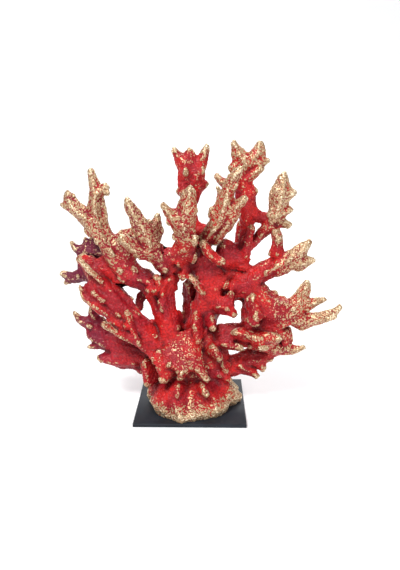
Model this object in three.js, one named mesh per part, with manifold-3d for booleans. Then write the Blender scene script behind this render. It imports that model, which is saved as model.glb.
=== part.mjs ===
// A fan of red coral, gilded at its tips, grown on a lumpy holdfast that is fixed to a thin square
// plate. The fan stands across X, and its front faces -Y. Units are millimetres, +Z is up, and the
// origin is the centre of the plate's underside.
//
// The coral is one growth, split at its main forks. Each piece is a union of convex hulls drawn
// round "knots": places along a limb, each with its own thickness.

import * as THREE from "three";
import { ConvexGeometry } from "three/addons/geometries/ConvexGeometry.js";
import { mergeVertices } from "three/addons/utils/BufferGeometryUtils.js";
import Module from "manifold-3d";

const wasm = await Module();
wasm.setup();

// ---- Driving dimensions ----

const PLATE_SIDE = 120;
const PLATE_THICKNESS = 4;
const PLATE_EDGE_BREAK = 0.6; // chamfer round the plate's edges
const FORK_GAP = 0.3; // clearance between neighbouring pieces
const STOUT = 13; // a knot at least this thick is drawn with twelve corners, a thinner one with six
const CORNER_REACH = 1.06; // a corner's distance over the knot's thickness, to make up for its flats

const CORAL_RED = 0xb3202a;
const PLATE_BLACK = 0x22252a;

// ---- The coral: each knot is [x, y, z, thickness] ----

const CORAL = {
  // A mound of lobes, from the neck down and out to the rim.
  holdfast: {
    limbs: [],
    webs: [
      [[0, 2, 27, 28], [-37, -8, 25, 10], [-40, -4, 11, 10]],
      [[0, 2, 27, 28], [-35, -22, 13, 10], [-28, -36, 22, 9], [-28, -38, 11, 10]],
      [[-10, -20, 30, 14], [-20, -38, 26, 9], [-9, -50, 9, 9]],
      [[0, 2, 27, 28], [0, -48, 9, 8], [16, -41, 11, 9]],
      [[0, 2, 27, 28], [28, -37, 11, 10], [35, -20, 13, 10]],
      [[0, 2, 27, 28], [38, -8, 22, 11], [49, -3, 11, 9], [43, -14, 12, 8]],
      [[0, 2, 27, 28], [43, 16, 12, 11], [28, 32, 12, 11]],
      [[0, 2, 27, 28], [4, 38, 12, 11], [-20, 32, 12, 11]],
      [[0, 2, 27, 28], [-37, 16, 14, 11], [-38, 4, 24, 9]],
      [[-28, -30, 9, 12], [28, -30, 9, 12], [34, 14, 9, 12], [0, 28, 9, 12], [-30, 20, 9, 12]],
      [[-28, -37, 8, 8], [-9, -50, 7, 8], [16, -42, 8, 8], [28, -36, 8, 8]],
      [[-13, -41, 39, 3], [-14, -47, 29, 3], [-11, -24, 30, 8]],
      [[13, -40, 39, 3], [18, -47, 31, 3], [11, -24, 30, 8]],
    ],
  },
  // Three stout columns grown together, with ridges and knobs that overhang the holdfast.
  trunk: {
    limbs: [
      [[-5, 2, 20, 28], [-5, 1, 45, 30], [-2, 4, 63, 26]],
      [[-26, 0, 30, 15], [-32, 2, 50, 14], [-26, -2, 70, 16]],
      [[26, 0, 32, 18], [26, 0, 53, 18], [17, 0, 72, 18]],
      [[-42, -24, 67, 5], [-35, -20, 62, 8]],
      [[-44, 4, 33, 12], [-33, 2, 29, 12]],
      [[-9, -41, 54, 6], [-4, -28, 60, 12]],
      [[7, -32, 57, 8], [18, -42, 47, 4]],
      [[42, -12, 34, 5], [32, -12, 42, 9]],
      [[38, -17, 45, 4], [34, -14, 54, 6]],
      [[24, -31, 53, 3], [22, -22, 58, 4]],
    ],
    webs: [
      [[-50, -16, 56, 4], [-48, -22, 44, 4], [-47, -25, 33, 4], [-34, -2, 42, 11]],
      [[-34, -27, 70, 5], [-32, -33, 57, 5], [-27, -38, 44, 4], [-14, -14, 57, 12]],
      [[-30, -30, 60, 5], [-9, -34, 57, 6], [8, -32, 58, 6], [2, -10, 84, 9], [-22, -12, 79, 8]],
      [[25, -26, 77, 3], [31, -28, 65, 4], [20, -8, 69, 10]],
    ],
  },
  // The lowest bough on the left, broad and flattened.
  low_left_bough: {
    limbs: [
      [[-35, 6, 53, 18], [-64, 8, 59, 14], [-90, 10, 65, 12], [-112, 10, 76, 7]],
      [[-62, 4, 51, 12], [-86, 2, 51, 9], [-100, 2, 54, 7]],
      [[-71, 12, 67, 14], [-94, 14, 78, 11], [-110, 14, 89, 9], [-125, 15, 93, 6], [-133, 16, 103, 2]],
      [[-105, 14, 89, 8], [-112, 14, 102, 5], [-113, 14, 109, 3]],
      [[-107, 8, 66, 6], [-117, 8, 64, 3]],
      [[-51, 4, 44, 9], [-59, 4, 37, 4]],
    ],
    webs: [
      [[-64, 8, 59, 14], [-90, 12, 72, 11], [-86, 2, 52, 9]],
      [[-90, 10, 65, 11], [-110, 14, 88, 8], [-112, 10, 76, 6]],
    ],
  },
  // The long bough that rises to the left, with ridges down its front.
  left_bough: {
    limbs: [
      [
        [-38, -8, 72, 15], [-57, -8, 91, 14], [-71, -6, 108, 13], [-85, -4, 126, 13],
        [-98, 0, 141, 13], [-107, 2, 157, 11], [-118, 4, 167, 7],
      ],
      [[-38, -4, 80, 12], [-65, 0, 111, 7], [-83, 2, 135, 8], [-91, 4, 152, 9]],
      [[-41, -17, 66, 6], [-60, -24, 84, 5], [-76, -26, 91, 4], [-92, -28, 103, 4]],
      [[-82, -11, 107, 8], [-100, -15, 119, 6], [-115, -13, 127, 3], [-120, -8, 139, 3]],
      [[-95, -14, 147, 4], [-107, -16, 159, 4], [-118, -10, 170, 3]],
      [[-67, -24, 115, 4], [-63, -23, 97, 4], [-55, -27, 81, 3]],
      [[-103, -15, 134, 3], [-94, -17, 127, 4]],
      [[-94, -15, 116, 4], [-82, -13, 103, 6]],
    ],
    webs: [
      [[-85, -4, 126, 11], [-109, -4, 139, 7], [-113, -8, 128, 6]],
      [[-68, -6, 101, 12], [-86, -16, 104, 5], [-60, -18, 85, 6]],
      [[-107, 2, 157, 8], [-84, 4, 168, 8], [-82, 0, 149, 8]],
    ],
  },
  // Two short forks behind the left bough.
  far_left_branch: {
    limbs: [
      [[-84, 14, 168, 9], [-103, 22, 171, 10], [-117, 25, 172, 9], [-129, 26, 174, 5], [-134, 27, 181, 3]],
      [[-116, 25, 175, 7], [-119, 28, 186, 3]],
      [[-113, 25, 175, 7], [-111, 28, 186, 3]],
      [[-98, 16, 145, 9], [-120, 24, 146, 9], [-135, 26, 141, 6], [-147, 27, 145, 4]],
      [[-136, 26, 141, 6], [-144, 27, 134, 3]],
      [[-119, 25, 172, 8], [-120, 24, 148, 8]],
    ],
    webs: [],
  },
  // A tall branch that arches up to the left and forks near its end.
  upper_left_branch: {
    limbs: [
      [
        [-40, -4, 143, 11], [-52, -4, 149, 12], [-66, -4, 155, 14], [-78, -2, 169, 13],
        [-89, -2, 188, 11], [-98, 0, 205, 10], [-100, 0, 224, 9], [-100, 0, 243, 7], [-104, 2, 262, 4],
      ],
      [[-98, -2, 237, 7], [-89, -2, 245, 5]],
      [[-102, 2, 209, 10], [-115, 4, 216, 11], [-126, 6, 226, 9], [-130, 6, 237, 4]],
      [[-123, 5, 225, 8], [-133, 6, 224, 4], [-139, 6, 226, 2]],
      [[-81, -2, 182, 9], [-76, 2, 194, 6], [-64, 6, 195, 6], [-52, 4, 187, 7]],
      [[-86, -12, 159, 5], [-85, -20, 160, 3]],
      [[-75, -12, 158, 5], [-74, -20, 159, 3]],
    ],
    webs: [
      [[-88, -2, 189, 9], [-66, 0, 180, 8], [-67, -2, 158, 9]],
      [[-92, -2, 186, 9], [-110, 3, 207, 9], [-115, 4, 218, 9]],
    ],
  },
  // Prongs that lean forward between the left and middle branches.
  inner_left_branch: {
    limbs: [
      [[-22, -8, 171, 9], [-36, -17, 177, 9], [-53, -24, 183, 9], [-64, -28, 190, 8], [-70, -30, 197, 4]],
      [
        [-41, -20, 186, 10], [-46, -26, 201, 10], [-53, -30, 216, 8], [-60, -32, 229, 7],
        [-62, -33, 235, 4],
      ],
      [[-39, -18, 192, 9], [-35, -12, 205, 7], [-34, -10, 218, 3]],
      [[-56, -10, 190, 8], [-64, 2, 195, 7], [-67, 4, 202, 4]],
      [[-37, 8, 176, 5], [-24, 16, 176, 3], [-12, 16, 174, 5]],
    ],
    webs: [
      [[-39, -18, 192, 8], [-44, -24, 205, 7], [-35, -14, 203, 6]],
      [[-21, -6, 168, 8], [-39, -16, 183, 8], [-30, -6, 159, 8]],
    ],
  },
  // The left leg of the arch over the trunk.
  left_column: {
    limbs: [
      [[-23, -6, 62, 15], [-24, -4, 89, 13], [-27, -2, 114, 11], [-31, -2, 132, 12], [-24, -2, 149, 12]],
      [[-45, -12, 138, 5], [-37, -8, 138, 9]],
      [[-36, -15, 151, 4], [-32, -8, 142, 8]],
      [[-16, -11, 122, 4], [-21, -16, 108, 4]],
      [[-45, -2, 133, 7], [-38, -2, 117, 6], [-29, -4, 89, 8]],
      [[-43, 10, 133, 7], [-54, 14, 125, 7], [-57, 12, 118, 5], [-60, 6, 110, 6]],
      [[-42, 0, 138, 9], [-61, 0, 145, 8], [-82, 0, 145, 7]],
      [[-19, 0, 88, 9], [-14, 4, 105, 6]],
    ],
    webs: [],
  },
  // The right leg and the crown of the arch, which carry the middle branches.
  central_column: {
    limbs: [
      [
        [4, 4, 71, 20], [12, 6, 96, 15], [19, 4, 117, 16], [21, 2, 138, 17], [16, 4, 156, 15],
        [0, 4, 168, 12],
      ],
      [[17, 2, 152, 15], [40, 0, 142, 12], [60, 0, 140, 13]],
      [[-4, 18, 87, 9], [0, 22, 112, 9], [-3, 14, 138, 8]],
      [[30, -8, 120, 11], [41, -16, 118, 8], [47, -20, 112, 4]],
      [[43, -14, 134, 4], [39, -8, 118, 8]],
      [[0, -14, 152, 4], [7, -18, 146, 4], [13, -17, 135, 4]],
      [[-8, -14, 152, 4], [-7, -4, 158, 8]],
      [[14, -24, 191, 4], [19, -24, 180, 6], [29, -22, 172, 6], [34, -26, 171, 4]],
      [[36, 2, 131, 8], [64, 0, 130, 9]],
    ],
    webs: [
      [[-24, 0, 155, 10], [-15, 0, 170, 8], [2, 2, 167, 10]],
      [[20, -16, 178, 7], [16, 2, 158, 12], [0, 2, 172, 9]],
      [[6, -14, 112, 3], [5, -22, 99, 3], [8, -24, 82, 3], [9, -2, 97, 9]],
      [[23, -15, 108, 3], [24, -19, 95, 3], [20, -2, 101, 9]],
    ],
  },
  // The foremost branch, standing straight up.
  front_centre_branch: {
    limbs: [
      [[-8, -6, 178, 10], [-4, -22, 190, 11], [-4, -32, 210, 10], [-2, -38, 227, 10], [1, -43, 246, 6]],
      [[-7, -32, 205, 8], [-17, -40, 219, 7], [-25, -44, 231, 4]],
      [[-1, -38, 227, 8], [6, -42, 226, 4]],
      [[-2, -26, 195, 8], [7, -32, 198, 3]],
      [[-29, -15, 178, 4], [-14, -13, 177, 8]],
    ],
    webs: [
      [[-7, -32, 202, 7], [-16, -40, 222, 5], [-7, -36, 221, 8]],
      [[-5, -20, 188, 10], [-24, -8, 167, 7], [5, -8, 172, 7]],
    ],
  },
  // The high branch behind it, with three points at its top.
  top_centre_branch: {
    limbs: [
      [
        [10, 2, 178, 11], [1, 2, 197, 10], [-3, 4, 221, 7], [1, 6, 242, 10], [2, 6, 261, 13],
        [-9, 6, 273, 7], [-16, 6, 282, 4],
      ],
      [[0, 6, 269, 10], [-1, 6, 281, 4]],
      [[5, 6, 263, 9], [12, 6, 274, 6], [17, 6, 287, 3]],
      [[6, 6, 245, 9], [16, 6, 248, 3]],
      [[-5, 12, 236, 6], [-12, 14, 239, 5]],
      [[-4, 6, 265, 8], [-8, 4, 255, 5], [-6, 0, 239, 5]],
      [[2, 2, 201, 9], [17, 0, 197, 8], [25, -4, 202, 7]],
    ],
    webs: [
      [[-12, 6, 275, 5], [-1, 6, 265, 8], [-3, 6, 251, 7]],
    ],
  },
  // A branch that leans forward and to the right.
  front_right_branch: {
    limbs: [
      [
        [11, -6, 183, 9], [21, -14, 199, 10], [30, -22, 215, 10], [36, -28, 232, 10],
        [39, -32, 248, 7], [45, -36, 261, 6], [50, -37, 267, 3],
      ],
      [[40, -28, 224, 8], [50, -34, 232, 6], [55, -36, 237, 4]],
      [[46, -30, 222, 6], [36, -20, 207, 7], [26, -12, 194, 8]],
      [[33, -20, 225, 7], [32, -18, 239, 4], [28, -17, 247, 2]],
      [[29, -18, 217, 8], [24, -14, 222, 3]],
    ],
    webs: [
      [[30, -22, 215, 9], [45, -28, 226, 7], [36, -28, 232, 8]],
    ],
  },
  // The tallest branch, with a web of struts at its root.
  top_right_branch: {
    limbs: [
      [
        [50, 2, 172, 10], [58, 4, 185, 6], [60, 4, 203, 6], [58, 6, 222, 11], [57, 8, 240, 10],
        [53, 8, 257, 10], [57, 9, 270, 12], [49, 9, 281, 6], [46, 9, 289, 4],
      ],
      [[60, 9, 269, 11], [69, 9, 279, 9], [72, 9, 289, 4]],
      [[62, 9, 269, 10], [74, 9, 270, 6], [81, 9, 272, 3]],
      [[60, 6, 238, 6], [67, 6, 240, 4]],
      [[59, 6, 220, 10], [73, 6, 214, 6], [86, 4, 208, 7]],
      [[54, 20, 205, 4], [52, 20, 185, 4], [49, 12, 178, 6]],
      [[34, 2, 168, 9], [47, 2, 165, 8], [60, 0, 160, 7]],
      [[64, -6, 204, 4], [61, -9, 186, 4], [58, -6, 173, 5]],
      [[60, 6, 255, 8], [71, 7, 264, 6]],
      [[57, 9, 270, 11], [44, 9, 265, 5]],
      [[57, 8, 240, 9], [45, 8, 246, 4], [34, 8, 249, 6], [28, 9, 256, 4]],
    ],
    webs: [
      [[36, -4, 184, 7], [50, 2, 176, 8], [36, 0, 167, 9], [56, 0, 168, 8]],
    ],
  },
  // A thin arm that turns up into a thick club.
  upper_right_branch: {
    limbs: [
      [
        [50, 0, 174, 8], [62, 2, 182, 7], [73, 2, 193, 7], [84, 2, 204, 8], [91, 0, 217, 9],
        [95, -2, 241, 11], [97, -2, 257, 5],
      ],
      [[95, -2, 239, 8], [107, -4, 240, 4]],
      [[91, -2, 216, 9], [106, -2, 222, 5]],
      [[92, 0, 211, 8], [104, 0, 206, 4]],
      [[88, -2, 202, 7], [92, -6, 190, 6], [92, -4, 174, 8]],
      [[89, -9, 201, 4], [91, -11, 193, 4]],
    ],
    webs: [],
  },
  // A branch that reaches out to the right and ends in two points.
  mid_right_branch: {
    limbs: [
      [
        [62, 0, 143, 13], [77, 0, 154, 11], [91, -2, 163, 11], [108, -4, 169, 11],
        [120, -4, 182, 7], [127, -4, 188, 3],
      ],
      [[105, -4, 168, 10], [120, -4, 165, 8], [131, -4, 168, 4]],
      [[93, -4, 155, 4], [104, -4, 162, 8]],
    ],
    webs: [],
  },
  // The stout bough on the right, with three long prongs.
  right_bough: {
    limbs: [
      [
        [58, 0, 136, 12], [71, -2, 130, 14], [80, -2, 114, 18], [95, -4, 109, 16],
        [110, -4, 111, 13], [119, -4, 126, 9], [125, -4, 142, 5],
      ],
      [[118, -4, 117, 9], [132, -4, 121, 6], [145, -4, 125, 3]],
      [[108, -4, 106, 11], [125, -4, 99, 9], [142, -6, 104, 7], [154, -8, 110, 6], [161, -8, 117, 4]],
      [[114, -4, 102, 9], [124, -6, 93, 4]],
      [[84, 0, 123, 9], [93, 0, 131, 4]],
      [[95, 2, 118, 8], [103, 4, 121, 5]],
      [
        [62, 0, 132, 9], [64, 0, 114, 8], [68, 0, 96, 13], [80, -2, 94, 16], [100, 0, 89, 11],
        [104, 0, 73, 8],
      ],
    ],
    webs: [
      [[66, -19, 133, 4], [67, -22, 122, 4], [70, -26, 109, 5], [71, -6, 120, 11]],
    ],
  },
  // The flat bough beneath it, with a raised bar along its front.
  low_right_bough: {
    limbs: [
      [
        [28, -2, 78, 12], [50, -4, 85, 12], [72, -4, 81, 13], [96, -2, 69, 9], [114, -4, 67, 5],
        [125, -6, 70, 3],
      ],
      [[34, -13, 77, 6], [55, -19, 74, 4]],
      [[30, -2, 88, 8], [42, -2, 91, 6], [55, 0, 88, 8]],
    ],
    webs: [
      [[47, -21, 92, 4], [61, -27, 92, 4], [58, -6, 84, 10]],
      [[61, -27, 92, 4], [75, -34, 87, 5], [78, -36, 80, 4], [70, -8, 82, 11]],
      [[70, -25, 88, 5], [84, -31, 88, 4], [95, -33, 90, 4], [82, -8, 79, 10]],
    ],
  },
  // A short bough close above the holdfast, with a toothed lower edge.
  lowest_right_bough: {
    limbs: [
      [[21, 2, 43, 15], [44, 4, 46, 11], [64, 4, 52, 11], [84, 4, 57, 8], [99, 2, 63, 4]],
      [[55, 2, 48, 12], [68, 0, 40, 6], [73, -2, 35, 4]],
      [[73, 2, 53, 9], [81, -2, 43, 4]],
      [[84, 2, 55, 7], [90, 0, 54, 3]],
      [[42, 0, 44, 12], [53, -2, 39, 4]],
      [[55, 6, 56, 5], [77, 6, 63, 6]],
    ],
    webs: [],
  },
};

// ---- Shapes ----

const stoutShape = knotShape(new THREE.IcosahedronGeometry(1, 0));
const thinShape = knotShape(new THREE.OctahedronGeometry(1, 0));

/** A geometry with its positions only, and its shared corners merged. */
function merged(geometry) {
  const bare = geometry.clone();
  bare.deleteAttribute("normal");
  bare.deleteAttribute("uv");
  return mergeVertices(bare);
}

/** A geometry's positions, as vectors. */
function cornersOf(geometry) {
  const places = geometry.getAttribute("position");
  return Array.from({ length: places.count }, (_, i) => new THREE.Vector3().fromBufferAttribute(places, i));
}

/** A unit shape's corners, and how far its flats lie from its centre. */
function knotShape(geometry) {
  const corners = cornersOf(merged(geometry));
  const [a, b, c] = cornersOf(geometry); // a unit shape's first face, before its corners are merged
  return { corners, flatReach: a.clone().add(b).add(c).length() / 3 };
}

/** The corner points of one knot, its flats moved out by a margin. */
function knotPoints([x, y, z, thickness], margin) {
  const { corners, flatReach } = thickness >= STOUT ? stoutShape : thinShape;
  const reach = thickness * CORNER_REACH + margin / flatReach;
  const centre = new THREE.Vector3(x, y, z);
  return corners.map((corner) => corner.clone().multiplyScalar(reach).add(centre));
}

/** A three.js geometry as a manifold-3d solid. */
function solidOf(geometry) {
  const shape = merged(geometry);
  const vertProperties = shape.getAttribute("position").array;
  return new wasm.Manifold(
    new wasm.Mesh({ numProp: 3, vertProperties, triVerts: new Uint32Array(shape.index.array) }),
  );
}

/** The convex body drawn round some knots. */
function hullOf(knots, margin) {
  return solidOf(new ConvexGeometry(knots.flatMap((knot) => knotPoints(knot, margin))));
}

/** One piece of the coral, its limbs and webs joined, grown by a margin. */
function growthOf({ limbs, webs }, margin = 0) {
  const hulls = webs.map((web) => hullOf(web, margin));
  for (const limb of limbs)
    for (let i = 1; i < limb.length; i++) hulls.push(hullOf([limb[i - 1], limb[i]], margin));
  return hulls.reduce((joined, hull) => joined.add(hull));
}

/** The largest of a solid's separate bodies: a cut can leave a crumb on a fork's far side. */
function mainBody(solid) {
  return solid.decompose().reduce((a, b) => (a.volume() > b.volume() ? a : b));
}

/** A manifold-3d solid as a named three.js mesh. */
function meshOf(name, solid, material) {
  const { vertProperties, triVerts, numProp } = solid.getMesh();
  const places = new Float32Array((vertProperties.length / numProp) * 3);
  for (let i = 0; i < places.length / 3; i++)
    places.set(vertProperties.subarray(i * numProp, i * numProp + 3), i * 3);
  const geometry = new THREE.BufferGeometry();
  geometry.setAttribute("position", new THREE.BufferAttribute(places, 3));
  geometry.setIndex(new THREE.BufferAttribute(new Uint32Array(triVerts), 1));
  geometry.computeVertexNormals();
  const mesh = new THREE.Mesh(geometry, material);
  mesh.name = name;
  return mesh;
}

/** The square plate, lying on the ground. */
function plateMesh() {
  const half = PLATE_SIDE / 2 - PLATE_EDGE_BREAK;
  const outline = new THREE.Shape();
  outline.moveTo(-half, -half);
  outline.lineTo(half, -half);
  outline.lineTo(half, half);
  outline.lineTo(-half, half);
  outline.closePath();
  const geometry = new THREE.ExtrudeGeometry(outline, {
    depth: PLATE_THICKNESS - 2 * PLATE_EDGE_BREAK,
    bevelThickness: PLATE_EDGE_BREAK,
    bevelSize: PLATE_EDGE_BREAK,
    bevelSegments: 1,
  });
  const material = new THREE.MeshStandardMaterial({ color: PLATE_BLACK, roughness: 0.45, metalness: 0.4 });
  const mesh = new THREE.Mesh(geometry, material);
  mesh.name = "base_plate";
  mesh.position.z = PLATE_EDGE_BREAK;
  return mesh;
}

/** Everything below the plate's top face, as a solid to cut the holdfast flat with. */
function groundBlock() {
  const depth = 60;
  const block = new THREE.BoxGeometry(4 * PLATE_SIDE, 4 * PLATE_SIDE, depth);
  block.translate(0, 0, PLATE_THICKNESS + FORK_GAP - depth / 2);
  return solidOf(block);
}

/** The coral's pieces: each is cut back, with a small gap, from those listed before it. */
function coralMeshes() {
  const ground = groundBlock();
  const grownBefore = [];
  const meshes = [];
  for (const [name, growth] of Object.entries(CORAL)) {
    let piece = growthOf(growth).subtract(ground);
    for (const neighbour of grownBefore) piece = piece.subtract(neighbour);
    grownBefore.push(growthOf(growth, FORK_GAP));
    const material = new THREE.MeshStandardMaterial({ color: CORAL_RED, roughness: 0.55, metalness: 0.1 });
    meshes.push(meshOf(name, mainBody(piece), material));
  }
  return meshes;
}

const seaFan = new THREE.Group();
seaFan.add(plateMesh(), ...coralMeshes());

export default seaFan;
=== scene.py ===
"""A fan of branching red coral, dry-brushed with pale gold, standing on a square black plate.

The frame gives every piece of the coral as a faceted solid. The solids are melted into one growth,
rounded, budded and grained. The growth is then parted again at the same forks, so that each visible
piece stands for one solid and meets its neighbours without a seam. Lengths are in metres.
"""

import sys
import logging
import math
from dataclasses import dataclass
from enum import Enum
from typing import Any

import bmesh
import bpy
import numpy as np
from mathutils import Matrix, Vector


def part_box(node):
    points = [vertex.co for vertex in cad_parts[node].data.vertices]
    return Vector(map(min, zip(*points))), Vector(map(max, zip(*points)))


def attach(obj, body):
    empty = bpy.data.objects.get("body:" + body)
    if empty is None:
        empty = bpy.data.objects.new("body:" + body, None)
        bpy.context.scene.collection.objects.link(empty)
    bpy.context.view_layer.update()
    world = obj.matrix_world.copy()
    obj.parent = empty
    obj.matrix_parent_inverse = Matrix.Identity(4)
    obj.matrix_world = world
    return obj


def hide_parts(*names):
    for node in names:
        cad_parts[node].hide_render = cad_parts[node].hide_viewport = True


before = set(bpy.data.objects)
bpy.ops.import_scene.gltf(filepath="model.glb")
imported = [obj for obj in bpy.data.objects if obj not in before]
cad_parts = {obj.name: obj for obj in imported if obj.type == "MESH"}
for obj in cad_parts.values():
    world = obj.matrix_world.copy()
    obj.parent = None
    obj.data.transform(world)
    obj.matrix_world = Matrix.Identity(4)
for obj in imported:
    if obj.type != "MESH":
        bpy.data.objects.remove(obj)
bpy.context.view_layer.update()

LOG = logging.getLogger("coral")
MM = 0.001
PLATE_NODE = "base_plate"
BODY = "root"

# What soft noise, and the grooved grain made from it, come to on average.
NOISE_MEAN = 0.5
GRAIN_MEAN = 0.6

# What is measured on the last skin: how far it stands out from its near and its broad shape, how thick
# the limb is, and how open the place lies.
SURVEY = ("proud", "deep", "wall", "air")

# The owner of faces that no piece takes, and the most times that stray patches are handed on.
NOBODY = -1
SETTLING_ROUNDS = 20

Colour = tuple[float, float, float, float]
Place = tuple[float, float, float]
Span = tuple[float, float]


# ---------------------------------------------------------------------------------------------
# Node trees
# ---------------------------------------------------------------------------------------------


class Value:
    """A node's output socket. Arithmetic on it adds Math nodes to its tree."""

    def __init__(self, graph: "Graph", socket: bpy.types.NodeSocket) -> None:
        """Keeps the tree's wrapper and the socket."""
        self.graph = graph
        self.socket = socket

    def also(self, name: str) -> "Value":
        """Another output of the same node."""
        return Value(self.graph, self.graph.pick(self.socket.node.outputs, name))

    def __add__(self, other: Any) -> "Value":
        """self + other."""
        return self.graph.math("ADD", self, other)

    def __radd__(self, other: Any) -> "Value":
        """other + self."""
        return self.graph.math("ADD", other, self)

    def __sub__(self, other: Any) -> "Value":
        """self - other."""
        return self.graph.math("SUBTRACT", self, other)

    def __rsub__(self, other: Any) -> "Value":
        """other - self."""
        return self.graph.math("SUBTRACT", other, self)

    def __mul__(self, other: Any) -> "Value":
        """self * other."""
        return self.graph.math("MULTIPLY", self, other)

    def __rmul__(self, other: Any) -> "Value":
        """other * self."""
        return self.graph.math("MULTIPLY", other, self)

    def __truediv__(self, other: Any) -> "Value":
        """self / other."""
        return self.graph.math("DIVIDE", self, other)

    def __rtruediv__(self, other: Any) -> "Value":
        """other / self."""
        return self.graph.math("DIVIDE", other, self)

    def __abs__(self) -> "Value":
        """The value without its sign."""
        return self.graph.add("ShaderNodeMath", {"operation": "ABSOLUTE"}, {0: self})

    def clamped(self) -> "Value":
        """The value held between 0 and 1."""
        return self.graph.add("ShaderNodeClamp", inputs={"Value": self})

    def step(self, low: float, high: float) -> "Value":
        """A smooth step from 0 at low to 1 at high."""
        ends = {"Value": self, "From Min": low, "From Max": high}
        return self.graph.add("ShaderNodeMapRange", {"interpolation_type": "SMOOTHSTEP"}, ends)


class Graph:
    """A node tree that is built by calls, one node a call."""

    def __init__(self, tree: bpy.types.NodeTree) -> None:
        """Keeps the tree that the nodes go into."""
        self.tree = tree

    @staticmethod
    def pick(sockets: Any, key: str | int) -> bpy.types.NodeSocket:
        """Finds a socket.

        Args:
            sockets: a node's inputs or outputs.
            key: the socket's name, or its place among those that are in use.

        Returns:
            The socket.
        """
        used = [s for s in sockets if s.enabled]
        if isinstance(key, int):
            return used[key]
        return next(s for s in used if s.name == key)

    def add(
        self,
        kind: str,
        settings: dict[str, Any] | None = None,
        inputs: dict[str | int, Any] | None = None,
        output: str | int = 0,
    ) -> Value | None:
        """Adds one node.

        Args:
            kind: the node's type.
            settings: its properties, which are set before its sockets.
            inputs: what each input socket is linked to or holds.
            output: the output that is wanted.

        Returns:
            That output, or nothing for a node that has none.
        """
        node = self.tree.nodes.new(kind)
        for name, setting in (settings or {}).items():
            setattr(node, name, setting)
        for key, value in (inputs or {}).items():
            socket = self.pick(node.inputs, key)
            if isinstance(value, Value):
                self.tree.links.new(value.socket, socket)
            else:
                socket.default_value = value
        return Value(self, self.pick(node.outputs, output)) if node.outputs else None

    def math(self, operation: str, a: Any, b: Any) -> Value:
        """A Math node on two values."""
        return self.add("ShaderNodeMath", {"operation": operation}, {0: a, 1: b})

    def vector(self, operation: str, inputs: dict[str | int, Any], output: str | int = 0) -> Value:
        """A Vector Math node."""
        return self.add("ShaderNodeVectorMath", {"operation": operation}, inputs, output)

    def mix(self, share: Any, a: Any, b: Any, kind: str = "RGBA") -> Value:
        """Goes from a to b as share goes from 0 to 1."""
        return self.add("ShaderNodeMix", {"data_type": kind}, {"Factor": share, "A": a, "B": b})

    def noise(self, place: Value, size: float, detail: float = 2.0) -> Value:
        """Soft noise from 0 to 1, with lumps of the given size."""
        inputs = {"Vector": place, "Scale": 1.0 / size, "Detail": detail}
        return self.add("ShaderNodeTexNoise", inputs=inputs)

    def worms(self, place: Value, size: float, steepness: float = 9.0) -> Value:
        """Meandering grooves, a few sizes long: 0 along them, 1 on the flats between."""
        return (abs(self.noise(place, size, 1.0) - NOISE_MEAN) * steepness).clamped()


class Way(Enum):
    """Which way a measure is taken from the skin: its share of the normal, and its lift."""

    INWARD = (-1.0, 0.0)
    OUTWARD = (1.0, 0.0)
    SKYWARD = (1.0, 1.0)


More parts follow.
